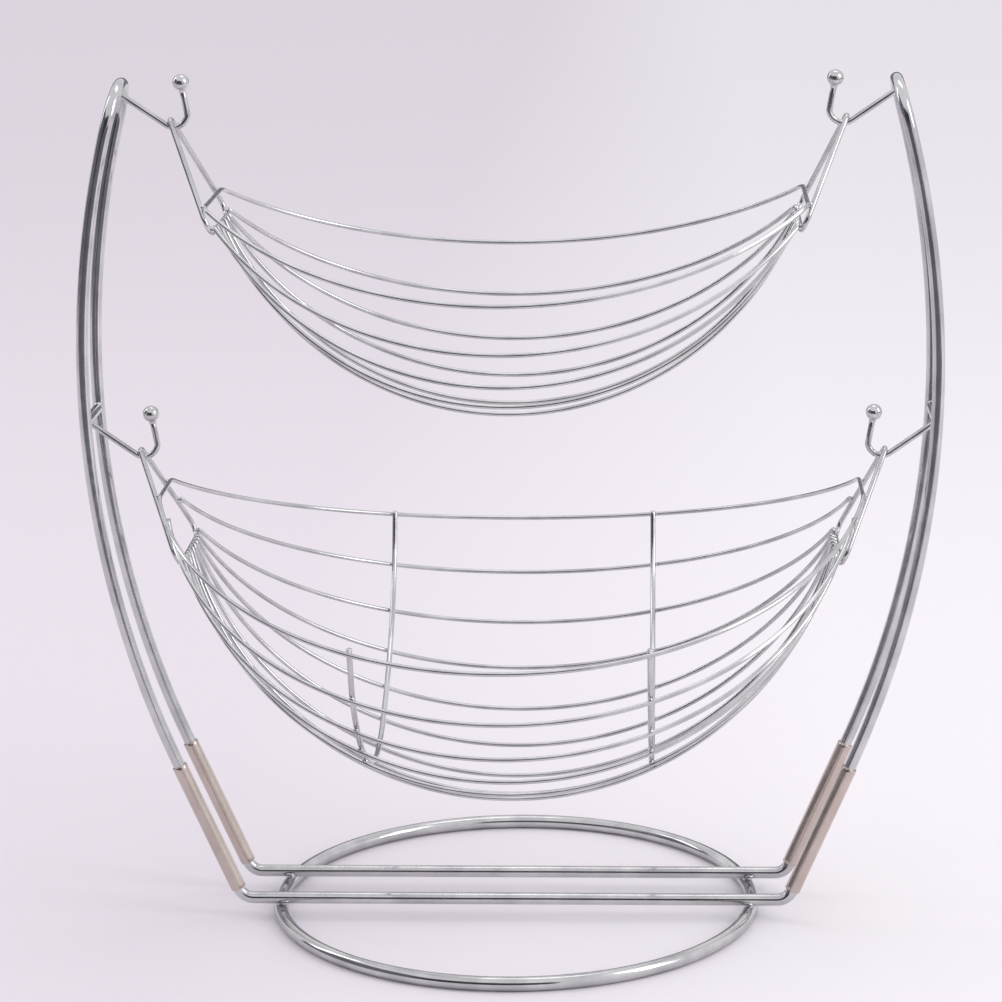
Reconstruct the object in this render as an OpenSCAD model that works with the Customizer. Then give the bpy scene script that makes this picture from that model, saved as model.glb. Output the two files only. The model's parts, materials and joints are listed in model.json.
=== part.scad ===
// Two tier hanging fruit basket on a bowed wire stand.
// The stand rests on a round wire ring. Two base bars cross the ring and turn up into
// four tube sleeves, which hold two hairpin uprights. Hooks on the uprights carry two
// hammock baskets, which swing about the line through the seats of their hooks.
// X runs along the base bars, Y runs away from the viewer and Z is up. The origin is
// the centre of the ring, on the table.

/* [Stand] */
// Width over the widest point of the two uprights
stand_w = 420; // [400:5:440]
// Height from the table to the top of the uprights
stand_h = 420; // [410:5:430]
// Wire diameter of the uprights and the base bars
frame_wire = 6; // [5:0.5:7]
// Distance between the two wires of an upright, centre to centre
pair_w = 40; // [36:1:44]
// Radius of the bow of the uprights
bow_r = 490; // [470:10:540]
// Slope of the sleeves and of the feet of the uprights, from the vertical
foot_slope = 23.4; // [22:0.2:25]

/* [Base] */
// Outer diameter of the base ring
ring_d = 245; // [220:5:260]
// Wire diameter of the base ring
ring_wire = 7; // [6:0.5:8]
// Bend radius where a base bar turns up into its sleeves
bar_bend_r = 8; // [7:0.5:12]

/* [Sleeves] */
// Length of a sleeve
sleeve_len = 70; // [60:1:76]
// Wall of a sleeve
sleeve_wall = 0.7; // [0.5:0.1:1.2]
// Play between a wire and the bore of its sleeve, on the diameter
sleeve_play = 0.2; // [0.1:0.05:0.4]
// Gap between the two wire ends that meet inside a sleeve
sleeve_gap = 2; // [1:0.5:4]

/* [Hooks] */
// Wire diameter of the hooks
hook_wire = 3; // [2.6:0.1:3.4]
// Bend radius of a hook at its seat
hook_r = 7; // [6.5:0.1:8]
// Distance inwards from the bar that carries a hook to the seat of the hook
hook_reach = 25; // [23:0.5:27]
// Distance down from the bar that carries a hook to the seat of the hook
hook_drop = 21; // [19.5:0.5:22.5]
// Lean of the stem of a hook, back towards its upright
hook_lean = 10; // [6:1:14]
// Height of the centre of the ball above the seat
ball_rise = 21.5; // [20:0.5:24]
// Diameter of the ball on the tip of a hook
ball_d = 8; // [7:0.5:9]
// Depth of the socket in the ball that takes the tip of the hook
ball_socket = 2.5; // [1:0.5:3]
// Height of the crossbar that carries a lower hook
crossbar_z = 254; // [248:1:260]
// Wire diameter of the crossbars
crossbar_wire = 5; // [4:0.5:6]

/* [Hangers] */
// Wire diameter of the hangers
hanger_wire = 2.6; // [2.2:0.1:3]
// Length of a hanger from the seat of the hook to the axis of its lower bar
hanger_len = 52; // [49:1:55]
// Width of a hanger where its legs would meet the line of the lower bar
hanger_w = 72; // [66:1:76]
// Bend radius of the lower corners of a hanger
hanger_corner_r = 6; // [4:0.5:7]
// Bend radius of the eye at the top of a hanger
eye_r = 4; // [3.8:0.1:4.4]
// Least gap between the eye and the wire of the hook
eye_play = 0.3; // [0.2:0.05:0.5]
// Lean of a hanger, with its foot towards the middle of the basket
hanger_lean = 23.5; // [21:0.5:26]

/* [Basket wires] */
// Wire diameter of the rims and of the long wires
basket_wire = 2.2; // [1.8:0.1:2.4]
// Length of wire that runs on past the hanger or the rim it is welded to
weld_tail = 1.6; // [1:0.2:2.4]
// Length of the short side of a rim past the legs of the hanger
rim_over = 5; // [4:0.5:6]
// Roundness of the cross section of the baskets, where 2 is an ellipse
section_power = 1.65; // [1.5:0.05:2]

/* [Upper basket] */
// Width of the upper basket over the axis of its rim
upper_w = 188; // [170:2:200]
// Depth of the upper basket from the rim to the lowest wire, at the middle
upper_depth = 69; // [60:1:76]
// Distance from the seats of the hooks down to the middle of the rim
upper_rim_drop = 72; // [66:1:78]
// Distance from the seat of the hook to the rim, along the hanger
upper_rim_seat = 39; // [35:1:40]

/* [Lower basket] */
// Width of the lower basket over the axis of its rim
lower_w = 300; // [280:2:310]
// Depth of the lower basket from the rim to the lowest wire, at the middle
lower_depth = 103; // [94:1:108]
// Distance from the seats of the hooks down to the middle of the rim
lower_rim_drop = 68; // [62:1:74]
// Distance from the seat of the hook to the rim, along the hanger
lower_rim_seat = 19; // [17:1:21]
// Distance from the seat of the hook to the wire below the rim, along the hanger
lower_leg_seat = 31; // [29:1:34]
// Distance of a rib from the middle of the basket
rib_x = 69; // [55:1:80]
// Wire diameter of the ribs
rib_wire = 2.8; // [2.2:0.1:3.2]

/* [Hidden] */

chrome = "lightgray";
champagne = "rosybrown";

// The side of the base that a piece is on, along Y
front = -1;
back = 1;

// Wires of the upper and the lower basket, with both long sides of the rim counted
upper_count = 10;
lower_count = 14;

// Gap between wires that are welded to each other or rest on each other
touch = 0.05;
// Facets of a round wire and of a full turn of a bend, as drawn on screen
wire_fn = 24;
bend_fn = 120;
// Sides of the thick and the thin wires that are bent along a path, and how far a side of
// the path may cut inside its curve
thick_sides = 12;
thin_sides = 10;
curve_error = 0.08;
// Steps along a long side and along a corner of a rim, and between two wires on a rib
rim_steps = 26;
corner_steps = 5;
rib_steps = 3;
// Points on which the cross section of a basket is measured
section_steps = 120;

half_pair = pair_w / 2;
half_w = (stand_w - frame_wire) / 2;
ring_r = (ring_d - ring_wire) / 2;
bar_z = ring_wire + frame_wire / 2 + touch;

// The foot of the stand, seen from the front, with places as [x, z]. A bar runs along X,
// turns up by foot_turn and runs up the slope inside its sleeve. The bow starts above it.
sleeve_margin = 0.3;
foot_turn = 90 - foot_slope;
foot_dir = [sin(foot_slope), cos(foot_slope)];
foot_tangent = bar_bend_r * tan(foot_turn / 2);
foot_len = foot_tangent + 2 * sleeve_margin + sleeve_len;
stub_len = sleeve_margin + (sleeve_len - sleeve_gap) / 2;
bow_x = half_w - bow_r;
bow_z = bar_z + foot_len * foot_dir.y + bow_r * sin(foot_slope);
bow_foot = [bow_x + bow_r * cos(foot_slope), bow_z - bow_r * sin(foot_slope)];
bar_corner = bow_foot - foot_len * foot_dir;
bar_bend = bar_corner + [-foot_tangent, bar_bend_r];
bar_bend_end = bar_corner + foot_tangent * foot_dir;

// The top of an upright: the bow ends at bow_end, where a half turn joins the two wires
top_z = stand_h - frame_wire / 2;
bow_end = asin((top_z - bow_z) / norm([bow_r, half_pair])) - atan(half_pair / bow_r);
apex = [bow_x + bow_r * cos(bow_end) - half_pair * sin(bow_end), top_z];
crossbar = [bow_x + sqrt(bow_r * bow_r - pow(crossbar_z - bow_z, 2)), crossbar_z];

// The seats of the right hooks, as [x, z]
upper_seat = apex - [hook_reach, hook_drop];
lower_seat = crossbar - [hook_reach, hook_drop];

// A hook, seen from the front. Its arm is welded below the bar that carries it.
hook_span = [hook_reach, hook_drop - hook_r];
function arm_drop(carrier_wire) = (carrier_wire + hook_wire) / 2 + touch;
function arm_slope(drop) =
    atan(hook_span.y / hook_span.x) + asin((hook_r - drop) / norm(hook_span));
function arm_len(drop) = sqrt(pow(norm(hook_span), 2) - pow(hook_r - drop, 2));
stem_dir = [sin(hook_lean), cos(hook_lean)];
stem_foot = [-hook_r * cos(hook_lean), hook_r * (1 - sin(hook_lean))];
stem_len = (ball_rise - stem_foot.y) / stem_dir.y;

// A hanger lies in a plane that leans by hanger_lean. A place on it is [y, s], where s is
// the distance from the seat of the hook down the plane. The eye clears the inner side
// of the bend of the hook by eye_play.
lean_down = [-sin(hanger_lean), 0, -cos(hanger_lean)];
lean_in = [-cos(hanger_lean), 0, sin(hanger_lean)];
eye_reach = hook_r - (hook_wire + hanger_wire) / 2 - eye_play;
eye_top = hook_r * cos(hanger_lean) - sqrt(pow(eye_reach, 2) - pow(hook_r * sin(hanger_lean), 2));
eye = [0, eye_r - eye_top];
leg_span = [hanger_w / 2, hanger_len] - eye;
leg_slope = atan(leg_span.x / leg_span.y) - asin(eye_r / norm(leg_span));
leg_out = [cos(leg_slope), -sin(leg_slope)];
corner_s = hanger_len - hanger_corner_r;
corner = [
    (eye_r - hanger_corner_r + (corner_s - eye.y) * sin(leg_slope)) / cos(leg_slope),
    corner_s
];

function hanger_place(seat, place) = [seat.x, place.x, seat.y] + place.y * lean_down;
// A place on the back leg or the front leg of a hanger, at the distance s from the seat
function on_leg(side, s) =
    let (top = eye + eye_r * leg_out)
    [side * (top.x + (s - top.y) * tan(leg_slope)), s];
// A place on the lower bar, where t runs from -1 in one corner to 1 in the other
function on_bar(t) =
    let (y = t * (corner.x + hanger_corner_r * sin(45)), over = max(0, abs(y) - corner.x))
    [y, corner_s + sqrt(pow(hanger_corner_r, 2) - over * over)];
// The axis of a wire that is welded to the inner side of a hanger, at a place on it
function welded_at(seat, place) =
    hanger_place(seat, place) + ((hanger_wire + basket_wire) / 2 + touch) * lean_in;

// The cross section at the middle of a basket is a rounded hollow, as [y, z] from the
// middle of the rim. The wires are spaced evenly along it.
function rounded(v) = sign(v) * pow(abs(v), 2 / section_power);
function section_point(a, w, depth) = [w / 2 * rounded(cos(a)), -depth * rounded(sin(a))];
function run_lengths(pts, i = 0, sum = 0) =
    i == len(pts) - 1 ? [[sum, i]]
    : concat([[sum, i]], run_lengths(pts, i + 1, sum + norm(pts[i + 1] - pts[i])));
function section_places(count, w, depth) =
    let (
        step = 180 / section_steps,
        runs = run_lengths([for (i = [0:section_steps]) section_point(i * step, w, depth)]),
        full = runs[section_steps][0]
    )
    [for (k = [0:count - 1]) section_point(lookup(full * k / (count - 1), runs) * step, w, depth)];

// The right end and the middle of every wire of a basket, from the back to the front. The
// first wires are welded to the back leg, the last ones to the front leg, and those
// between them to the lower bar.
function wire_ends(seat, count, leg_seats) =
    let (legs = len(leg_seats), last = count - 1)
    [for (k = [0:last])
        let (rank = min(k, last - k), side = k < count / 2 ? 1 : -1)
        welded_at(seat, rank < legs ? on_leg(side, leg_seats[rank])
            : on_bar(1 - 2 * (k - legs) / (last - 2 * legs)))];
function wire_middles(seat, count, w, depth, rim_drop) =
    [for (p = section_places(count, w, depth)) [0, p.x, seat.y - rim_drop + p.y]];

upper_ends = wire_ends(upper_seat, upper_count, [upper_rim_seat]);
upper_middles = wire_middles(upper_seat, upper_count, upper_w, upper_depth, upper_rim_drop);
lower_ends = wire_ends(lower_seat, lower_count, [lower_rim_seat, lower_leg_seat]);
lower_middles = wire_middles(lower_seat, lower_count, lower_w, lower_depth, lower_rim_drop);

// A wire runs on an arc from its end e on the right, through its middle m, to its end on
// the left. The angle a is measured at the centre of the arc, from the middle.
function arc_sag(e, m) = norm([m.y - e.y, m.z - e.z]);
function arc_r(e, m) = (e.x * e.x + pow(arc_sag(e, m), 2)) / (2 * arc_sag(e, m));
function arc_half(e, m) = atan2(e.x, arc_r(e, m) - arc_sag(e, m));
function arc_tilt(e, m) = atan2(m.z - e.z, m.y - e.y);
function arc_point(e, m, a) =
    let (r = arc_r(e, m), tilt = arc_tilt(e, m))
    [r * sin(a), m.y + r * (cos(a) - 1) * cos(tilt), m.z + r * (cos(a) - 1) * sin(tilt)];

// Points on an arc round c, from the angle a to the angle b
function arc_points(c, r, a, b) =
    let (n = max(2, ceil(abs(b - a) / (2 * acos(1 - curve_error / r)))))
    [for (i = [0:n]) let (t = a + (b - a) * i / n) c + r * [cos(t), sin(t)]];
function flip(p) = [-p.x, p.y, p.z];
function mirrored(path) = [for (i = [len(path) - 1:-1:0]) flip(path[i])];
function reversed(path) = [for (i = [len(path) - 1:-1:0]) path[i]];
function unit(v) = v / norm(v);

// A round wire in the plane of an arc, from the angle a to the angle b
module bend(r, a, b, d) {
    rotate_extrude(start = a, angle = b - a, $fn = bend_fn)
        translate([r, 0])
            circle(d = d, $fn = wire_fn);
}

// A straight round wire in the XY plane, from p to q
module rod(p, q, d) {
    run = q - p;
    translate([p.x, p.y, 0])
        rotate([0, 0, atan2(run.y, run.x)])
            rotate([0, 90, 0])
                cylinder(h = norm(run), d = d, $fn = wire_fn);
}

// A wire bent along a list of points, with flat ends or closed to a loop. Its sides keep
// their places round the path as seen along the axis ref, which the path never follows.
module bent_wire(path, d, sides, ref, closed = false) {
    n = len(path);
    points = [for (i = [0:n - 1])
        let (
            before = closed || i > 0 ? unit(path[i] - path[(i + n - 1) % n]) : [0, 0, 0],
            after = closed || i < n - 1 ? unit(path[(i + 1) % n] - path[i]) : [0, 0, 0],
            along = unit(before + after),
            side = unit(cross(along, ref)),
            up = cross(side, along)
        )
        for (k = [0:sides - 1])
            let (a = k * 360 / sides)
            path[i] + d / 2 * (cos(a) * side + sin(a) * up)];
    walls = [for (i = [0:closed ? n - 1 : n - 2]) for (k = [0:sides - 1])
        let (p = i * sides, q = (i + 1) % n * sides, next = (k + 1) % sides)
        each [[p + k, p + next, q + next], [p + k, q + next, q + k]]];
    caps = [
        [for (k = [1:sides]) sides - k],
        [for (k = [0:sides - 1]) (n - 1) * sides + k]
    ];
    polyhedron(points = points, faces = closed ? walls : concat(walls, caps), convexity = 6);
}

// Stands the XY plane up, so that its Y becomes Z, at the distance y behind the middle
module upright_plane(y = 0) {
    translate([0, y, 0])
        rotate([90, 0, 0])
            children();
}

module left_side() {
    mirror([1, 0, 0])
        children();
}

module base_ring() {
    color(chrome)
        translate([0, 0, ring_wire / 2])
            bend(ring_r, 0, 360, ring_wire);
}

// The places [x, z] of a path seen from the front, at the distance y behind the middle
function at_depth(path, y) = [for (p = path) [p.x, y, p.y]];

module base_bar(side) {
    turned_up = concat(arc_points(bar_bend, bar_bend_r, -90, foot_turn - 90),
        [bar_bend_end + stub_len * foot_dir]);
    right = at_depth(turned_up, side * half_pair);
    color(chrome)
        bent_wire(concat(mirrored(right), right), frame_wire, thick_sides, [0, 1, 0]);
}

module sleeve(side) {
    start = bar_bend_end + sleeve_margin * foot_dir;
    bore = frame_wire + sleeve_play;
    color(champagne)
        upright_plane(side * half_pair)
            difference() {
                rod(start, start + sleeve_len * foot_dir, bore + 2 * sleeve_wall);
                rod(start - foot_dir, start + (sleeve_len + 1) * foot_dir, bore);
            }
}

module upright() {
    bow = concat([bow_foot - stub_len * foot_dir],
        arc_points([bow_x, bow_z], bow_r, -foot_slope, bow_end));
    climb = [-sin(bow_end), 0, cos(bow_end)];
    turn_centre = [bow_x + bow_r * cos(bow_end), 0, bow_z + bow_r * sin(bow_end)];
    turn = [for (p = arc_points([0, 0], half_pair, 180, 0)) turn_centre + [0, p.x, 0] + p.y * climb];
    inner = [for (i = [1:len(turn) - 2]) turn[i]];
    color(chrome)
        bent_wire(
            concat(at_depth(bow, -half_pair), inner, reversed(at_depth(bow, half_pair))),
            frame_wire, thick_sides, [cos(bow_end), 0, sin(bow_end)]);
}

module crossbar() {
    reach = half_pair - frame_wire / 2 - touch;
    color(chrome)
        translate([crossbar.x, -reach, crossbar.y])
            rotate([-90, 0, 0])
                cylinder(h = 2 * reach, d = crossbar_wire, $fn = wire_fn);
}

module hook(seat, carrier_wire) {
    drop = arm_drop(carrier_wire);
    slope = arm_slope(drop);
    centre = seat + [0, hook_r];
    seat_bend = arc_points(centre, hook_r, 270 + slope, 180 + hook_lean);
    arm_top = seat_bend[0] + (arm_len(drop) + hook_wire / 2) * [cos(slope), sin(slope)];
    tip = seat + stem_foot + (stem_len - ball_d / 2 + ball_socket) * stem_dir;
    color(chrome)
        bent_wire(at_depth(concat([arm_top], seat_bend, [tip]), 0), hook_wire, thin_sides, [0, 1, 0]);
}

module hook_ball(seat) {
    ball = seat + stem_foot + stem_len * stem_dir;
    socket_end = ball - (ball_d / 2 - ball_socket - touch) * stem_dir;
    color(chrome)
        upright_plane()
            difference() {
                translate([ball.x, ball.y, 0])
                    sphere(d = ball_d, $fn = 48);
                rod(ball - ball_d * stem_dir, socket_end, hook_wire + 2 * touch);
            }
}

module hanger(seat) {
    eye_bend = arc_points(eye, eye_r, -leg_slope, leg_slope - 180);
    front_bend = arc_points([-corner.x, corner.y], hanger_corner_r, 180 + leg_slope, 90);
    back_bend = arc_points(corner, hanger_corner_r, 90, -leg_slope);
    path = [for (p = concat(eye_bend, front_bend, back_bend)) hanger_place(seat, p)];
    color(chrome)
        bent_wire(path, hanger_wire, thin_sides, lean_in, closed = true);
}

// A long wire, welded to the inner side of both hangers
module long_wire(e, m) {
    r = arc_r(e, m);
    tilt = arc_tilt(e, m);
    half = arc_half(e, m) + weld_tail / r * 180 / PI;
    color(chrome)
        translate(m - r * [0, cos(tilt), sin(tilt)])
            rotate([tilt, 0, 0])
                bend(r, 90 - half, 90 + half, basket_wire);
}

// A rim is one closed loop: two long sides, and two short sides across the hangers
function shift_y(p, y) = [p.x, p.y + y, p.z];
function long_side(e, m) =
    let (half = arc_half(e, m) - rim_over / arc_r(e, m) * 180 / PI)
    [for (i = [0:rim_steps]) arc_point(e, m, half * (1 - 2 * i / rim_steps))];
function rounded_corner(a, b, c) =
    [for (i = [1:corner_steps - 1])
        let (t = i / corner_steps)
        (1 - t) * (1 - t) * a + 2 * t * (1 - t) * b + t * t * c];
function rim_path(ends, middles) =
    let (
        last = len(ends) - 1,
        e_back = shift_y(ends[0], rim_over),
        e_front = shift_y(ends[last], -rim_over),
        side_back = long_side(e_back, middles[0]),
        side_front = reversed(long_side(e_front, middles[last])),
        left_turn = rounded_corner(side_back[rim_steps], flip(e_back), flip(ends[0])),
        right_turn = rounded_corner(side_front[rim_steps], e_front, ends[last])
    )
    concat(
        side_back, left_turn, [flip(ends[0]), flip(ends[last])],
        mirrored(right_turn), side_front, right_turn, [ends[last], ends[0]], mirrored(left_turn));

module rim(ends, middles) {
    color(chrome)
        bent_wire(rim_path(ends, middles), basket_wire, thin_sides, [0, 0, 1], closed = true);
}

// A rib crosses all wires of the lower basket on the outside, in a plane across X. Two
// crossing wires touch at the sum of their radii, measured square to both.
crossings = [for (k = [0:lower_count - 1])
    let (e = lower_ends[k], m = lower_middles[k])
    arc_point(e, m, asin(rib_x / arc_r(e, m)))];
function rib_knot(k) =
    let (
        run = crossings[min(k + 1, lower_count - 1)] - crossings[max(k - 1, 0)],
        along = run / norm(run),
        outward = [0, along.z, -along.y],
        e = lower_ends[k],
        m = lower_middles[k],
        lean = asin(rib_x / arc_r(e, m)),
        across = sin(lean) * (cos(arc_tilt(e, m)) * along.y + sin(arc_tilt(e, m)) * along.z),
        gap = (basket_wire + rib_wire) / 2 + touch
    )
    crossings[k] + gap * sqrt(1 - across * across) / cos(lean) * outward;
knots = [for (k = [0:lower_count - 1]) rib_knot(k)];
function knot(k) = knots[max(0, min(k, lower_count - 1))];
function between(a, b, c, d, t) =
    b + ((c - a) * t + (2 * a - 5 * b + 4 * c - d) * t * t
        + (3 * b - a - 3 * c + d) * t * t * t) / 2;
function tail_from(p, q) = p + weld_tail * (p - q) / norm(p - q);
rib_path = concat(
    [tail_from(knots[0], knots[1])],
    [for (k = [0:lower_count - 2]) for (j = [0:rib_steps - 1])
        between(knot(k - 1), knot(k), knot(k + 1), knot(k + 2), j / rib_steps)],
    [knots[lower_count - 1], tail_from(knots[lower_count - 1], knots[lower_count - 2])]);

module lower_rib() {
    color(chrome)
        bent_wire(rib_path, rib_wire, thin_sides, [1, 0, 0]);
}

base_ring();
base_bar(front);  // base_bar_front
base_bar(back);  // base_bar_back
left_side() sleeve(front);  // sleeve_left_front
left_side() sleeve(back);  // sleeve_left_back
sleeve(front);  // sleeve_right_front
sleeve(back);  // sleeve_right_back
left_side() upright();  // upright_left
upright();  // upright_right
left_side() crossbar();  // crossbar_left
crossbar();  // crossbar_right
left_side() hook(upper_seat, frame_wire);  // upper_hook_left
left_side() hook_ball(upper_seat);  // upper_hook_ball_left
hook(upper_seat, frame_wire);  // upper_hook_right
hook_ball(upper_seat);  // upper_hook_ball_right
left_side() hook(lower_seat, crossbar_wire);  // lower_hook_left
left_side() hook_ball(lower_seat);  // lower_hook_ball_left
hook(lower_seat, crossbar_wire);  // lower_hook_right
hook_ball(lower_seat);  // lower_hook_ball_right
left_side() hanger(upper_seat);  // upper_hanger_left
hanger(upper_seat);  // upper_hanger_right
left_side() hanger(lower_seat);  // lower_hanger_left
hanger(lower_seat);  // lower_hanger_right
rim(upper_ends, upper_middles);  // upper_rim
long_wire(upper_ends[1], upper_middles[1]);  // upper_wire_1
long_wire(upper_ends[2], upper_middles[2]);  // upper_wire_2
long_wire(upper_ends[3], upper_middles[3]);  // upper_wire_3
long_wire(upper_ends[4], upper_middles[4]);  // upper_wire_4
long_wire(upper_ends[5], upper_middles[5]);  // upper_wire_5
long_wire(upper_ends[6], upper_middles[6]);  // upper_wire_6
long_wire(upper_ends[7], upper_middles[7]);  // upper_wire_7
long_wire(upper_ends[8], upper_middles[8]);  // upper_wire_8
rim(lower_ends, lower_middles);  // lower_rim
long_wire(lower_ends[1], lower_middles[1]);  // lower_wire_1
long_wire(lower_ends[2], lower_middles[2]);  // lower_wire_2
long_wire(lower_ends[3], lower_middles[3]);  // lower_wire_3
long_wire(lower_ends[4], lower_middles[4]);  // lower_wire_4
long_wire(lower_ends[5], lower_middles[5]);  // lower_wire_5
long_wire(lower_ends[6], lower_middles[6]);  // lower_wire_6
long_wire(lower_ends[7], lower_middles[7]);  // lower_wire_7
long_wire(lower_ends[8], lower_middles[8]);  // lower_wire_8
long_wire(lower_ends[9], lower_middles[9]);  // lower_wire_9
long_wire(lower_ends[10], lower_middles[10]);  // lower_wire_10
long_wire(lower_ends[11], lower_middles[11]);  // lower_wire_11
long_wire(lower_ends[12], lower_middles[12]);  // lower_wire_12
left_side() lower_rib();  // lower_rib_left
lower_rib();  // lower_rib_right
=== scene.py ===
# Two tier hanging fruit basket of polished wire, dressed for rendering.
# Lengths are in millimetres until a mesh is made, which is in metres. X runs along the
# base bars, Y away from the viewer and Z up, and the origin is the centre of the ring.
import json
import math

import bpy
import numpy as np
from mathutils import Matrix, Vector

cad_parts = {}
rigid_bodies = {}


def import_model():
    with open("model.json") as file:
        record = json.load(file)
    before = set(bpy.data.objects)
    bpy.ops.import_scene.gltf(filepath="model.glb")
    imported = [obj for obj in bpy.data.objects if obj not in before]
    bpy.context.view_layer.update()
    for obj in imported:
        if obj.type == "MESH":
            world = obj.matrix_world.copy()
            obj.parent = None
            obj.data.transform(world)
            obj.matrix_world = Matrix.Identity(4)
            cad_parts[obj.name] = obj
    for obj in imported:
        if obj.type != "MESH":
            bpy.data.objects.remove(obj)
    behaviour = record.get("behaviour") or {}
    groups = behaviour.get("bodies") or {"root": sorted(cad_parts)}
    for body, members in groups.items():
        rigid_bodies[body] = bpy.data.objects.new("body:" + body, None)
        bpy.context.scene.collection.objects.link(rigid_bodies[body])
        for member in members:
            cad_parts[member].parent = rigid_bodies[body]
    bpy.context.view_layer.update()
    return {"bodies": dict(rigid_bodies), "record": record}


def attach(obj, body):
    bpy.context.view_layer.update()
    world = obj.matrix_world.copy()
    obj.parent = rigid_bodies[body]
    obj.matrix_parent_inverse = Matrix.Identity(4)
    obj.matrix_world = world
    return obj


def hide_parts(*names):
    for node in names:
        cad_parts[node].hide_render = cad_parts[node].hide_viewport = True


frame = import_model()

# Stand
STAND_W = 420.0
STAND_H = 420.0
FRAME_WIRE = 6.0
PAIR_W = 40.0
BOW_R = 490.0
FOOT_SLOPE = math.radians(23.4)
# Base
RING_D = 245.0
RING_WIRE = 7.0
BAR_BEND_R = 8.0
# Sleeves
SLEEVE_LEN = 70.0
SLEEVE_D = 7.6
SLEEVE_BORE = 6.2
SLEEVE_GAP = 2.0
SLEEVE_MARGIN = 0.3
# Hooks
HOOK_WIRE = 3.0
HOOK_R = 7.0
HOOK_REACH = 25.0
HOOK_DROP = 21.0
HOOK_LEAN = math.radians(10)
BALL_RISE = 21.5
BALL_D = 8.0
CROSSBAR_Z = 254.0
CROSSBAR_WIRE = 5.0
# Hangers
HANGER_WIRE = 2.6
HANGER_LEN = 52.0
HANGER_W = 72.0
HANGER_CORNER_R = 6.0
EYE_R = 4.0
EYE_PLAY = 0.3
HANGER_LEAN = math.radians(23.5)
# Basket wires
BASKET_WIRE = 2.2
WELD_TAIL = 1.6
RIM_OVER = 5.0
SECTION_POWER = 1.65
RIB_X = 69.0
RIB_WIRE = 2.8
# Each basket: count of wires with both sides of the rim, width, depth, drop of the rim
# below the hooks, and the places of the wires that are welded to the legs of the hangers
BASKETS = {
    "upper": {"count": 10, "w": 188.0, "depth": 69.0, "drop": 72.0, "legs": [39.0]},
    "lower": {"count": 14, "w": 300.0, "depth": 103.0, "drop": 68.0, "legs": [19.0, 31.0]},
}
# Gap between wires that are welded to each other
TOUCH = 0.05
# Lip at the ends of a sleeve, and how deep its bore is shown
SLEEVE_LIP = 0.25
BORE_SHOWN = 8.0
# How far a stem goes into its ball. The weld collar of the ball lists its distance below the
# ball and its height over the stem, and COLLAR_CUT is how much of the ball it hides.
STEM_INTO_BALL = 1.0
COLLAR = [(0.9, 0.02), (0.3, 0.3)]
COLLAR_CUT = 0.45
# Weld beads: half the length and half the width of each kind
RING_BEAD = (2.6, 1.5)
CROSSBAR_BEAD = (3.1, 2.9)
HOOK_BEAD = (2.4, 1.1)
WIRE_BEAD = (1.7, 1.35)
# The two beads of a hook lie beside its arm, and a little way down it
HOOK_BEAD_SIDE = 1.3
HOOK_BEAD_DOWN = 0.4
# Sides of a wire, of a turned piece and of a weld bead, rows of a bead, and the longest step
# of a path
SIDES = 20
TURNED_SIDES = 40
BEAD_SIDES = 10
BEAD_ROWS = 6
STEP = 3.0
# Rounding of the ends of a wire, as a share of its thickness
END_ROUNDING = 0.14

BODY_OF = {n: b for b, ns in frame["record"]["behaviour"]["bodies"].items() for n in ns}


def vec(*v):
    return np.array(v, float)


def unit(v):
    return v / np.linalg.norm(v)


def arc(c, r, a, b):
    """Points on an arc in a plane, from the angle a to the angle b, in radians."""
    n = max(6, int(abs(b - a) * r / STEP), int(abs(b - a) / math.radians(9)))
    return [vec(c[0] + r * math.cos(t), c[1] + r * math.sin(t)) for t in np.linspace(a, b, n + 1)]


def at_depth(path, y):
    return [vec(p[0], y, p[1]) for p in path]


def flip(path):
    return [vec(-p[0], p[1], p[2]) for p in path]


# Materials

# The part of a noise value's range that is in use
NOISE_LOW = 0.35
NOISE_HIGH = 0.65
# Scales of the noise in the colour and in the polish, and the depth of the relief in metres
COLOR_GRAIN = 60
POLISH_GRAIN = 180
RELIEF_DEPTH = 0.0002
COAT_ROUGHNESS = 0.08


def noise(nt, scale, detail):
    """A noise texture in object space."""
    coords = nt.nodes.new("ShaderNodeTexCoord")
    tex = nt.nodes.new("ShaderNodeTexNoise")
    tex.inputs["Scale"].default_value = scale
    tex.inputs["Detail"].default_value = detail
    nt.links.new(coords.outputs["Object"], tex.inputs["Vector"])
    return tex.outputs["Fac"]


def spread(nt, fac, low, high):
    """Maps a noise value to the range from low to high."""
    node = nt.nodes.new("ShaderNodeMapRange")
    node.inputs["From Min"].default_value = NOISE_LOW
    node.inputs["From Max"].default_value = NOISE_HIGH
    node.inputs["To Min"].default_value = low
    node.inputs["To Max"].default_value = high
    nt.links.new(fac, node.inputs["Value"])
    return node.outputs["Result"]


def tint(nt, fac, dark, light):
    """Mixes two colours by a noise value."""
    ramp = nt.nodes.new("ShaderNodeValToRGB")
    ramp.color_ramp.elements[0].position = NOISE_LOW
    ramp.color_ramp.elements[0].color = (*dark, 1)
    ramp.color_ramp.elements[1].position = NOISE_HIGH
    ramp.color_ramp.elements[1].color = (*light, 1)
    nt.links.new(fac, ramp.inputs["Fac"])
    return ramp.outputs["Color"]


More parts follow.
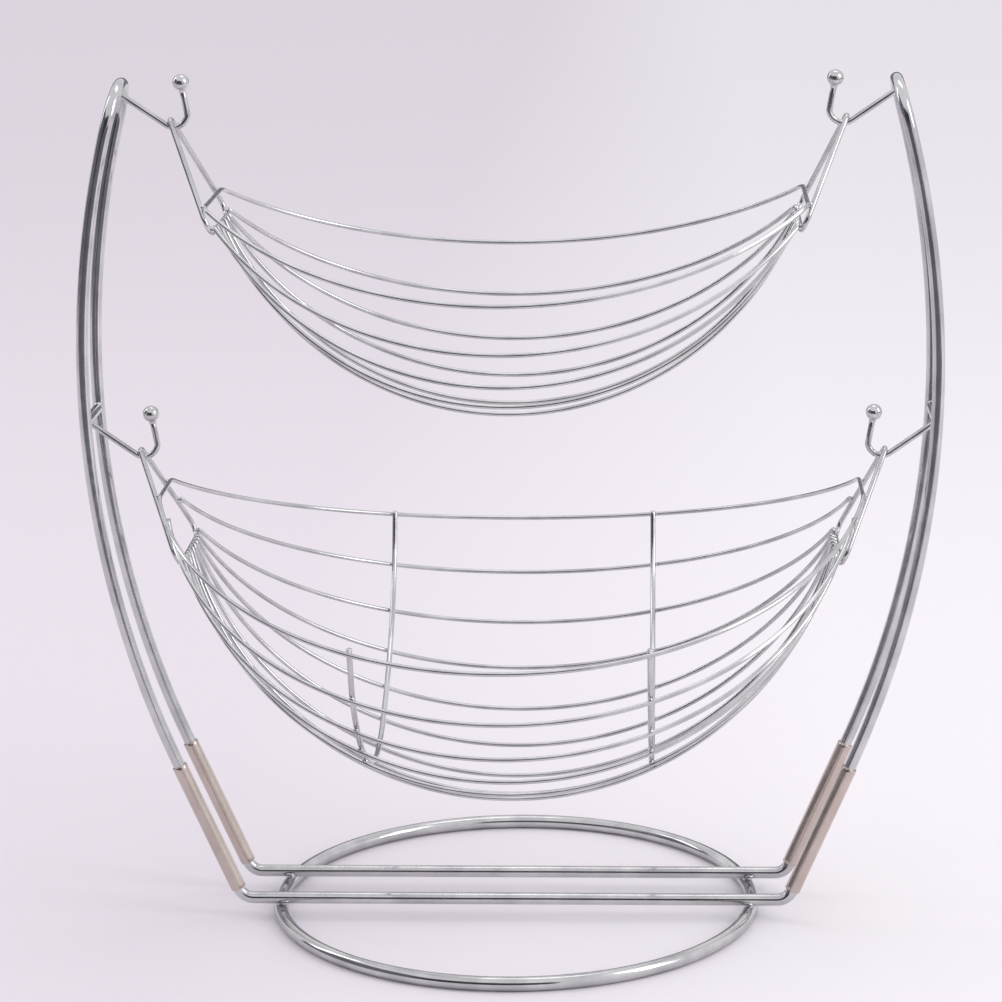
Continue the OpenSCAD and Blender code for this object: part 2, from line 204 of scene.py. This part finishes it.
def metal(name, dark, light, rough, bump, grain, coat=0.0):
    """A metal with uneven polish and a faint drawn or sprayed grain."""
    mat = bpy.data.materials.new(name)
    mat.use_nodes = True
    nt = mat.node_tree
    shader = nt.nodes["Principled BSDF"]
    shader.inputs["Metallic"].default_value = 1.0
    shader.inputs["Coat Weight"].default_value = coat
    shader.inputs["Coat Roughness"].default_value = COAT_ROUGHNESS
    nt.links.new(tint(nt, noise(nt, COLOR_GRAIN, 3), dark, light), shader.inputs["Base Color"])
    nt.links.new(spread(nt, noise(nt, POLISH_GRAIN, 4), *rough), shader.inputs["Roughness"])
    relief = nt.nodes.new("ShaderNodeBump")
    relief.inputs["Strength"].default_value = bump
    relief.inputs["Distance"].default_value = RELIEF_DEPTH
    nt.links.new(noise(nt, grain, 2), relief.inputs["Height"])
    nt.links.new(relief.outputs["Normal"], shader.inputs["Normal"])
    return mat


# Name, darker and lighter colour, range of roughness, strength and scale of the relief
CHROME = metal("chrome", (0.51, 0.51, 0.52), (0.65, 0.65, 0.655), (0.1, 0.17), 0.05, 500)
WELD = metal("weld", (0.52, 0.52, 0.54), (0.74, 0.74, 0.75), (0.12, 0.24), 0.5, 1400)
CHAMPAGNE = metal("champagne", (0.52, 0.445, 0.395), (0.59, 0.51, 0.46), (0.2, 0.28), 0.06, 900,
                  coat=0.4)


# Meshes

def mesh_object(name, verts, faces, mat):
    mesh = bpy.data.meshes.new(name)
    mesh.from_pydata([tuple(v / 1000.0) for v in verts], [], faces)
    mesh.validate()
    mesh.polygons.foreach_set("use_smooth", [True] * len(mesh.polygons))
    mesh.materials.append(mat)
    obj = bpy.data.objects.new(name, mesh)
    bpy.context.scene.collection.objects.link(obj)
    return obj


def stand_for(obj, node):
    """The piece takes the place of a CAD node and rides on its body."""
    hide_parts(node)
    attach(obj, BODY_OF[node])


def tube(path, d, closed=False):
    """Vertices and faces of a round wire along a path, with softly rounded ends."""
    n = len(path)
    if closed:
        along = [unit(path[(i + 1) % n] - path[i - 1]) for i in range(n)]
    else:
        along = [unit(path[min(i + 1, n - 1)] - path[max(i - 1, 0)]) for i in range(n)]
    rings = [(path[i], along[i], d / 2) for i in range(n)]
    if not closed:
        ease = d * END_ROUNDING
        first, last = (path[0], along[0]), (path[-1], along[-1])
        rings[0] = (first[0] + first[1] * ease, first[1], d / 2)
        rings[-1] = (last[0] - last[1] * ease, last[1], d / 2)
        rings = ([(first[0], first[1], d / 2 - ease)] + rings
                 + [(last[0], last[1], d / 2 - ease)])
    # The first side vector is carried along the path, and its drift is undone on a loop
    side = unit(np.cross(rings[0][1], vec(0.3, 0.2, 0.93)))
    sides = []
    for _, t, _ in rings:
        side = unit(side - np.dot(side, t) * t)
        sides.append(side)
    twist = 0.0
    if closed:
        t = rings[0][1]
        end = unit(sides[-1] - np.dot(sides[-1], t) * t)
        twist = math.atan2(np.dot(np.cross(end, sides[0]), t), np.dot(end, sides[0]))
    verts, faces = [], []
    for i, (p, t, r) in enumerate(rings):
        up = np.cross(t, sides[i])
        turn = twist * i / len(rings)
        for k in range(SIDES):
            a = 2 * math.pi * k / SIDES + turn
            verts.append(p + r * (math.cos(a) * sides[i] + math.sin(a) * up))
    count = len(rings)
    for i in range(count if closed else count - 1):
        j = (i + 1) % count
        for k in range(SIDES):
            m = (k + 1) % SIDES
            faces.append((i * SIDES + k, i * SIDES + m, j * SIDES + m, j * SIDES + k))
    if not closed:
        faces.append(tuple(range(SIDES - 1, -1, -1)))
        faces.append(tuple((count - 1) * SIDES + k for k in range(SIDES)))
    return verts, faces


def wire(node, path, d, closed=False):
    verts, faces = tube(path, d, closed)
    stand_for(mesh_object("wire_" + node, verts, faces, CHROME), node)


def turned(name, start, axis, profile, mat):
    """A piece turned about an axis. The profile lists [distance along, radius]."""
    side = unit(np.cross(axis, vec(0, 1, 0.01)))
    up = np.cross(axis, side)
    sides = TURNED_SIDES
    verts = [
        start + axis * s + r * (math.cos(a) * side + math.sin(a) * up)
        for s, r in profile for a in np.linspace(0, 2 * math.pi, sides, endpoint=False)
    ]
    faces = [
        (i * sides + k, i * sides + (k + 1) % sides, (i + 1) * sides + (k + 1) % sides,
         (i + 1) * sides + k)
        for i in range(len(profile) - 1) for k in range(sides)
    ]
    return mesh_object(name, verts, faces, mat)


# Places on the stand
HALF_PAIR = PAIR_W / 2
BAR_Z = RING_WIRE + FRAME_WIRE / 2 + TOUCH
FOOT_TURN = math.pi / 2 - FOOT_SLOPE
FOOT_DIR = vec(math.sin(FOOT_SLOPE), math.cos(FOOT_SLOPE))
FOOT_TANGENT = BAR_BEND_R * math.tan(FOOT_TURN / 2)
FOOT_LEN = FOOT_TANGENT + 2 * SLEEVE_MARGIN + SLEEVE_LEN
STUB_LEN = SLEEVE_MARGIN + (SLEEVE_LEN - SLEEVE_GAP) / 2
BOW = vec((STAND_W - FRAME_WIRE) / 2 - BOW_R, BAR_Z + FOOT_LEN * FOOT_DIR[1]
          + BOW_R * math.sin(FOOT_SLOPE))
BOW_FOOT = BOW + BOW_R * vec(math.cos(FOOT_SLOPE), -math.sin(FOOT_SLOPE))
BAR_CORNER = BOW_FOOT - FOOT_LEN * FOOT_DIR
BAR_BEND = BAR_CORNER + vec(-FOOT_TANGENT, BAR_BEND_R)
BAR_BEND_END = BAR_CORNER + FOOT_TANGENT * FOOT_DIR
TOP_Z = STAND_H - FRAME_WIRE / 2
BOW_END = (math.asin((TOP_Z - BOW[1]) / math.hypot(BOW_R, HALF_PAIR))
           - math.atan(HALF_PAIR / BOW_R))
APEX = vec(BOW[0] + BOW_R * math.cos(BOW_END) - HALF_PAIR * math.sin(BOW_END), TOP_Z)
CROSSBAR = vec(BOW[0] + math.sqrt(BOW_R ** 2 - (CROSSBAR_Z - BOW[1]) ** 2), CROSSBAR_Z)
SEATS = {"upper": APEX - vec(HOOK_REACH, HOOK_DROP), "lower": CROSSBAR - vec(HOOK_REACH, HOOK_DROP)}
CARRIER_WIRE = {"upper": FRAME_WIRE, "lower": CROSSBAR_WIRE}

beads = {body: [] for body in frame["bodies"]}


def bead(body, place, along, size):
    """A weld bead: an egg shape that is long in one direction."""
    beads[body].append((place, unit(along), *size))


def both(points):
    return [points, vec(-points[0], *points[1:])]


# Stand

ring_r = (RING_D - RING_WIRE) / 2
ring = arc((0, 0), ring_r, 0, 2 * math.pi)[:-1]
wire("base_ring", [vec(*p, RING_WIRE / 2) for p in ring], RING_WIRE, closed=True)

for place, y in (("front", -HALF_PAIR), ("back", HALF_PAIR)):
    end = at_depth(arc(BAR_BEND, BAR_BEND_R, -math.pi / 2, FOOT_TURN - math.pi / 2)
                   + [BAR_BEND_END + STUB_LEN * FOOT_DIR], y)
    start = end[0]
    middle = [vec(x, y, BAR_Z) for x in np.linspace(-start[0], start[0], 60)[1:-1]]
    wire("base_bar_" + place, flip(end)[::-1] + middle + end, FRAME_WIRE)
    cross = math.sqrt(ring_r ** 2 - y ** 2)
    for p in both(vec(cross, y, RING_WIRE)):
        bead("stand", p, vec(p[0], p[1], 0), RING_BEAD)

for side, sign in (("left", -1), ("right", 1)):
    for place, y in (("front", -HALF_PAIR), ("back", HALF_PAIR)):
        foot = BAR_BEND_END + SLEEVE_MARGIN * FOOT_DIR
        outer, bore, lip = SLEEVE_D / 2, SLEEVE_BORE / 2, SLEEVE_LIP
        profile = [(BORE_SHOWN, bore), (lip, bore), (0, bore + lip), (0, outer - lip), (lip, outer)]
        profile += [(s, outer) for s in np.linspace(2, SLEEVE_LEN - 2, 24)]
        profile += [(SLEEVE_LEN - s, r) for s, r in profile[4::-1]]
        sleeve = turned("tube_sleeve_%s_%s" % (side, place), vec(sign * foot[0], y, foot[1]),
                        vec(sign * FOOT_DIR[0], 0, FOOT_DIR[1]), profile, CHAMPAGNE)
        stand_for(sleeve, "sleeve_%s_%s" % (side, place))

    bow = [BOW_FOOT - STUB_LEN * FOOT_DIR, BOW_FOOT - STUB_LEN / 2 * FOOT_DIR]
    bow += arc(BOW, BOW_R, -FOOT_SLOPE, BOW_END)
    turn_at = vec(BOW[0] + BOW_R * math.cos(BOW_END), 0, BOW[1] + BOW_R * math.sin(BOW_END))
    climb = vec(-math.sin(BOW_END), 0, math.cos(BOW_END))
    turn = [turn_at + vec(0, p[0], 0) + p[1] * climb for p in arc((0, 0), HALF_PAIR, math.pi, 0)]
    hairpin = at_depth(bow, -HALF_PAIR) + turn[1:-1] + at_depth(bow, HALF_PAIR)[::-1]
    wire("upright_" + side, flip(hairpin) if sign < 0 else hairpin, FRAME_WIRE)

    reach = HALF_PAIR - FRAME_WIRE / 2 - TOUCH
    wire("crossbar_" + side, [vec(sign * CROSSBAR[0], y, CROSSBAR[1])
                              for y in np.linspace(-reach, reach, 12)], CROSSBAR_WIRE)
    for y in (-reach, reach):
        bead("stand", vec(sign * CROSSBAR[0], y, CROSSBAR[1]), vec(0, 0, 1), CROSSBAR_BEAD)


# Hooks and their balls

def ball_profile():
    """A ball with the weld collar below it that joins it to its stem."""
    r = BALL_D / 2
    collar = [(-r - below, HOOK_WIRE / 2 + over) for below, over in COLLAR]
    start = math.acos(-(r - COLLAR_CUT) / r)
    ball = [(r * math.cos(a), max(r * math.sin(a), 0.001)) for a in np.linspace(start, 0, 22)]
    return collar + ball


for tier, seat in SEATS.items():
    span = vec(HOOK_REACH, HOOK_DROP - HOOK_R)
    drop = (CARRIER_WIRE[tier] + HOOK_WIRE) / 2 + TOUCH
    slope = math.atan2(span[1], span[0]) + math.asin((HOOK_R - drop) / np.linalg.norm(span))
    arm_len = math.sqrt(span @ span - (HOOK_R - drop) ** 2)
    arm_dir = vec(math.cos(slope), math.sin(slope))
    seat_bend = arc(seat + vec(0, HOOK_R), HOOK_R, 1.5 * math.pi + slope, math.pi + HOOK_LEAN)
    stem_dir = vec(math.sin(HOOK_LEAN), math.cos(HOOK_LEAN))
    stem_foot = vec(-HOOK_R * math.cos(HOOK_LEAN), HOOK_R * (1 - math.sin(HOOK_LEAN)))
    stem_len = (BALL_RISE - stem_foot[1]) / stem_dir[1]
    arm_top = seat_bend[0] + (arm_len + HOOK_WIRE / 2) * arm_dir
    arm = [arm_top + (seat_bend[0] - arm_top) * t for t in np.linspace(0, 1, 9)[:-1]]
    stem_shown = stem_len - BALL_D / 2 + STEM_INTO_BALL
    stem = [seat + stem_foot + stem_dir * stem_shown * t for t in (0.33, 0.66, 1)]
    path = at_depth(arm + seat_bend + stem, 0)
    ball = seat + stem_foot + stem_len * stem_dir
    arm_side = vec(-math.sin(slope), math.cos(slope))
    weld = seat_bend[0] + arm_len * arm_dir + arm_side * HOOK_WIRE / 2
    for side, sign in (("left", -1), ("right", 1)):
        wire("%s_hook_%s" % (tier, side), flip(path) if sign < 0 else path, HOOK_WIRE)
        piece = turned("ball_%s_%s" % (tier, side), vec(sign * ball[0], 0, ball[1]),
                       vec(sign * stem_dir[0], 0, stem_dir[1]), ball_profile(), CHROME)
        stand_for(piece, "%s_hook_ball_%s" % (tier, side))
        for y in (-HOOK_BEAD_SIDE, HOOK_BEAD_SIDE):
            bead("stand", vec(sign * (weld[0] - HOOK_BEAD_DOWN), y, weld[1]),
                 vec(sign * arm_dir[0], 0, arm_dir[1]), HOOK_BEAD)


# Hangers, in a plane that leans. A place is [y, s], s down the plane from the seat.
LEAN_DOWN = vec(-math.sin(HANGER_LEAN), 0, -math.cos(HANGER_LEAN))
LEAN_IN = vec(-math.cos(HANGER_LEAN), 0, math.sin(HANGER_LEAN))
EYE_REACH = HOOK_R - (HOOK_WIRE + HANGER_WIRE) / 2 - EYE_PLAY
EYE_TOP = (HOOK_R * math.cos(HANGER_LEAN)
           - math.sqrt(EYE_REACH ** 2 - (HOOK_R * math.sin(HANGER_LEAN)) ** 2))
EYE = vec(0, EYE_R - EYE_TOP)
LEG_SPAN = vec(HANGER_W / 2, HANGER_LEN) - EYE
LEG_SLOPE = math.atan2(LEG_SPAN[0], LEG_SPAN[1]) - math.asin(EYE_R / np.linalg.norm(LEG_SPAN))
CORNER_S = HANGER_LEN - HANGER_CORNER_R
CORNER = vec((EYE_R - HANGER_CORNER_R + (CORNER_S - EYE[1]) * math.sin(LEG_SLOPE))
             / math.cos(LEG_SLOPE), CORNER_S)


def hanger_place(seat, place):
    return vec(seat[0], place[0], seat[1]) + place[1] * LEAN_DOWN


def welded_at(seat, place):
    return hanger_place(seat, place) + ((HANGER_WIRE + BASKET_WIRE) / 2 + TOUCH) * LEAN_IN


def on_leg(side, s):
    top = EYE + EYE_R * vec(math.cos(LEG_SLOPE), -math.sin(LEG_SLOPE))
    return vec(side * (top[0] + (s - top[1]) * math.tan(LEG_SLOPE)), s)


def on_bar(t):
    y = t * (CORNER[0] + HANGER_CORNER_R * math.sin(math.pi / 4))
    over = max(0.0, abs(y) - CORNER[0])
    return vec(y, CORNER_S + math.sqrt(HANGER_CORNER_R ** 2 - over ** 2))


def hanger_path(seat):
    bends = [arc(EYE, EYE_R, -LEG_SLOPE, LEG_SLOPE - math.pi),
             arc((-CORNER[0], CORNER[1]), HANGER_CORNER_R, math.pi + LEG_SLOPE, math.pi / 2),
             arc(CORNER, HANGER_CORNER_R, math.pi / 2, -LEG_SLOPE)]
    path = []
    for i, points in enumerate(bends):
        follow = bends[(i + 1) % 3][0]
        leg = follow - points[-1]
        path += points + [points[-1] + leg * t for t in np.linspace(0, 1, 12)[1:-1]]
    return [hanger_place(seat, p) for p in path]


# Baskets

def section(count, w, depth):
    """Places spaced evenly along the rounded hollow at the middle of a basket."""
    def rounded(v):
        return math.copysign(abs(v) ** (2 / SECTION_POWER), v)
    pts = np.array([(w / 2 * rounded(math.cos(a)), -depth * rounded(math.sin(a)))
                    for a in np.linspace(0, math.pi, 401)])
    runs = np.concatenate([[0], np.cumsum(np.linalg.norm(np.diff(pts, axis=0), axis=1))])
    want = np.linspace(0, runs[-1], count)
    return [vec(np.interp(s, runs, pts[:, 0]), np.interp(s, runs, pts[:, 1])) for s in want]


class Arc:
    """A wire from its end e on the right, through its middle m, to the left."""

    def __init__(self, e, m):
        drop = (m - e)[1:]
        self.m = m
        sag = np.linalg.norm(drop)
        self.dir = vec(0, *(drop / sag))
        self.r = (e[0] ** 2 + sag ** 2) / (2 * sag)
        self.half = math.atan2(e[0], self.r - sag)

    def at(self, a):
        return (self.m + self.r * (math.cos(a) - 1) * self.dir + vec(self.r * math.sin(a), 0, 0))

    def path(self, half):
        n = int(2 * half * self.r / STEP)
        return [self.at(a) for a in np.linspace(half, -half, n + 1)]


def corner_curve(a, b, c):
    return [(1 - t) ** 2 * a + 2 * t * (1 - t) * b + t * t * c for t in np.linspace(0, 1, 9)[1:-1]]


def rim_path(ends, middles):
    """One closed loop: two long arcs, and two short sides across the hangers."""
    back = ends[0] + vec(0, RIM_OVER, 0)
    front = ends[-1] - vec(0, RIM_OVER, 0)
    sides = []
    for e, m in ((back, middles[0]), (front, middles[-1])):
        long = Arc(e, m)
        sides.append(long.path(long.half - RIM_OVER / long.r))
    right_turn = corner_curve(sides[1][0], front, ends[-1])
    across = [ends[-1] + (ends[0] - ends[-1]) * t for t in np.linspace(0, 1, 12)]
    into_back = corner_curve(ends[0], back, sides[0][0])
    right = right_turn + across + into_back
    return sides[0] + flip(right)[::-1] + sides[1][::-1] + right


def catmull(points, steps):
    path = []
    last = len(points) - 1
    for i in range(last):
        a, b, c, d = (points[max(i - 1, 0)], points[i], points[i + 1], points[min(i + 2, last)])
        for t in np.linspace(0, 1, steps, endpoint=False):
            path.append(b + ((c - a) * t + (2 * a - 5 * b + 4 * c - d) * t ** 2
                             + (3 * b - a - 3 * c + d) * t ** 3) / 2)
    return path + [points[-1]]


for tier, spec in BASKETS.items():
    body = tier + "_basket"
    seat, last, legs = SEATS[tier], spec["count"] - 1, spec["legs"]
    hanger = hanger_path(seat)
    wire(tier + "_hanger_right", hanger, HANGER_WIRE, closed=True)
    wire(tier + "_hanger_left", flip(hanger), HANGER_WIRE, closed=True)

    ends = []
    for k in range(spec["count"]):
        rank = min(k, last - k)
        place = (on_leg(1 if k < spec["count"] / 2 else -1, legs[rank]) if rank < len(legs)
                 else on_bar(1 - 2 * (k - len(legs)) / (last - 2 * len(legs))))
        ends.append(welded_at(seat, place))
        for p in both(ends[-1] - LEAN_IN * BASKET_WIRE / 2):
            bead(body, p, LEAN_DOWN * vec(math.copysign(1, p[0]), 1, 1), WIRE_BEAD)
    middles = [vec(0, p[0], seat[1] - spec["drop"] + p[1])
               for p in section(spec["count"], spec["w"], spec["depth"])]
    wire(tier + "_rim", rim_path(ends, middles), BASKET_WIRE, closed=True)
    arcs = [Arc(e, m) for e, m in zip(ends, middles)]
    for k in range(1, last):
        path = arcs[k].path(arcs[k].half + WELD_TAIL / arcs[k].r)
        wire("%s_wire_%d" % (tier, k), path, BASKET_WIRE)

# Ribs of the lower basket, outside its long wires
crossings = [a.at(math.asin(RIB_X / a.r)) for a in arcs]
knots = []
for k, a in enumerate(arcs):
    along = unit(crossings[min(k + 1, last)] - crossings[max(k - 1, 0)])
    outward = vec(0, along[2], -along[1])
    lean = math.asin(RIB_X / a.r)
    across = math.sin(lean) * np.dot(a.dir, along)
    gap = ((BASKET_WIRE + RIB_WIRE) / 2 + TOUCH) * math.sqrt(1 - across ** 2) / math.cos(lean)
    knots.append(crossings[k] + gap * outward)
    for p in both(crossings[k] + gap * outward * BASKET_WIRE / (BASKET_WIRE + RIB_WIRE)):
        bead("lower_basket", p, along, WIRE_BEAD)
rib = catmull(knots, 10)
rib = ([rib[0] + WELD_TAIL * unit(rib[0] - rib[1])] + rib
       + [rib[-1] + WELD_TAIL * unit(rib[-1] - rib[-2])])
wire("lower_rib_right", rib, RIB_WIRE)
wire("lower_rib_left", flip(rib), RIB_WIRE)


# Weld beads, one piece for each body

def bead_mesh(body):
    verts, faces = [], []
    rows, cols = BEAD_ROWS, BEAD_SIDES
    for place, along, long, wide in beads[body]:
        side = unit(np.cross(along, vec(0.31, 0.87, 0.38)))
        up = np.cross(along, side)
        base = len(verts)
        for i in range(1, rows):
            a = math.pi * i / rows
            for k in range(cols):
                b = 2 * math.pi * k / cols
                verts.append(place + long * math.cos(a) * along
                             + wide * math.sin(a) * (math.cos(b) * side + math.sin(b) * up))
        verts += [place + long * along, place - long * along]
        top, bottom = len(verts) - 2, len(verts) - 1
        for k in range(cols):
            m = (k + 1) % cols
            faces.append((top, base + k, base + m))
            faces.append((bottom, base + (rows - 2) * cols + m, base + (rows - 2) * cols + k))
            for i in range(rows - 2):
                p, q = base + i * cols, base + (i + 1) * cols
                faces.append((p + k, q + k, q + m, p + m))
    piece = mesh_object("welds_" + body, verts, faces, WELD)
    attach(piece, body)


for body in frame["bodies"]:
    bead_mesh(body)


# Floor, lights and camera. Places from here on are in metres.

CENTRE = (0, 0, 0.2)
FLOOR_REACH = 24.0
# The floor's colours, with painted shade on the left and painted light on the right, and how far to
# each side one fades into the other
FLOOR_SHADED_LEFT = (0.76, 0.715, 0.765)
FLOOR_LIT_RIGHT = (0.86, 0.82, 0.855)
FLOOR_FADE = 0.6
# Name, place, width, height, aim and grey of the cards that only the wires mirror
CARDS = (
    ("card_front", (-0.9, -3.4, 0.9), 5.0, 2.4, CENTRE, 0.06),
    ("card_left", (-2.6, -0.5, 0.9), 3.6, 2.2, CENTRE, 0.2),
    ("card_back", (-0.4, 3.6, 0.8), 5.5, 1.6, CENTRE, 0.25),
    ("card_near_floor", (-0.4, -2.1, 0.004), 4.0, 2.6, (-0.4, -2.1, 1), 0.13),
)
# The blue of a card as a multiple of its grey
CARD_BLUE = 1.1
# Name, place, size and watts of the soft lights
SOFTBOXES = (
    ("key_right", (1.9, -0.7, 1.3), (0.8, 1.4), 12),
    ("top", (0.2, 0.5, 2.3), (1.2, 0.5), 3),
    ("fill_left", (-1.7, 0.5, 1.2), (0.3, 1.2), 3),
)
WORLD_COLOR = (0.95, 0.94, 0.97, 1)
WORLD_STRENGTH = 0.98
# The camera stands where the photograph was taken from
CAMERA_PLACE = (0.0776, -1.6238, 0.5972)
YAW, PITCH, ROLL = (math.radians(a) for a in (-2.92, -13.39, -0.74))
IMAGE_PX = 1002
FOCAL_PX = 3387
SENSOR_MM = 36.0
# Paper and cards are matt
MATT = 0.9


def facing(place, aim):
    """The turn that points the -Z of an object at its place to the aim."""
    return (Vector(aim) - Vector(place)).to_track_quat("-Z", "Y").to_euler()


def floor_material():
    """Pale paper, cooler and darker on the left and warmer and lighter on the right; the darker
    left is painted shade and the lighter right is painted light.
    """
    mat = bpy.data.materials.new("floor")
    mat.use_nodes = True
    nt = mat.node_tree
    shader = nt.nodes["Principled BSDF"]
    shader.inputs["Roughness"].default_value = MATT
    shader.inputs["Specular IOR Level"].default_value = 0.0
    coords = nt.nodes.new("ShaderNodeTexCoord")
    parts = nt.nodes.new("ShaderNodeSeparateXYZ")
    nt.links.new(coords.outputs["Object"], parts.inputs["Vector"])
    place = nt.nodes.new("ShaderNodeMapRange")
    place.inputs["From Min"].default_value = -FLOOR_FADE
    place.inputs["From Max"].default_value = FLOOR_FADE
    nt.links.new(parts.outputs["X"], place.inputs["Value"])
    # The paper colour fades from painted shade on the left to painted light on the right
    paper = tint(nt, place.outputs["Result"], FLOOR_SHADED_LEFT, FLOOR_LIT_RIGHT)
    nt.links.new(paper, shader.inputs["Base Color"])
    return mat


def card(name, place, width, height, aim, mat):
    """A flat card, standing square to the direction of aim."""
    x, y = width / 2, height / 2
    mesh = bpy.data.meshes.new(name)
    mesh.from_pydata([(-x, -y, 0), (x, -y, 0), (x, y, 0), (-x, y, 0)], [], [(0, 1, 2, 3)])
    mesh.materials.append(mat)
    obj = bpy.data.objects.new(name, mesh)
    obj.location = place
    obj.rotation_euler = facing(place, aim)
    bpy.context.scene.collection.objects.link(obj)
    return obj


def plain(name, color):
    mat = bpy.data.materials.new(name)
    mat.use_nodes = True
    shader = mat.node_tree.nodes["Principled BSDF"]
    shader.inputs["Base Color"].default_value = (*color, 1)
    shader.inputs["Roughness"].default_value = MATT
    return mat


card("floor", (0, 0, 0), FLOOR_REACH, FLOOR_REACH, (0, 0, -1), floor_material())
for name, place, width, height, aim, grey in CARDS:
    shade = card(name, place, width, height, aim, plain(name, (grey, grey, grey * CARD_BLUE)))
    shade.visible_camera = False
    shade.visible_shadow = False
    shade.visible_diffuse = False

for name, place, size, watts in SOFTBOXES:
    light = bpy.data.lights.new(name, "AREA")
    light.shape = "RECTANGLE"
    light.size, light.size_y = size
    light.energy = watts
    lamp = bpy.data.objects.new(name, light)
    lamp.location = place
    lamp.rotation_euler = facing(place, CENTRE)
    bpy.context.scene.collection.objects.link(lamp)

world = bpy.data.worlds.new("world")
world.use_nodes = True
world.node_tree.nodes["Background"].inputs["Color"].default_value = WORLD_COLOR
world.node_tree.nodes["Background"].inputs["Strength"].default_value = WORLD_STRENGTH
bpy.context.scene.world = world

look = Vector((math.sin(YAW) * math.cos(PITCH), math.cos(YAW) * math.cos(PITCH), math.sin(PITCH)))
level = Vector((math.cos(YAW), -math.sin(YAW), 0))
upward = level.cross(look)
right = math.cos(ROLL) * level + math.sin(ROLL) * upward
top = -math.sin(ROLL) * level + math.cos(ROLL) * upward
camera_data = bpy.data.cameras.new("camera")
camera_data.sensor_width = SENSOR_MM
camera_data.lens = SENSOR_MM * FOCAL_PX / IMAGE_PX
camera = bpy.data.objects.new("camera", camera_data)
stance = Matrix((right, top, -look)).transposed().to_4x4()
camera.matrix_world = Matrix.Translation(CAMERA_PLACE) @ stance
bpy.context.scene.collection.objects.link(camera)
bpy.context.scene.camera = camera
bpy.context.scene.view_settings.view_transform = "Standard"
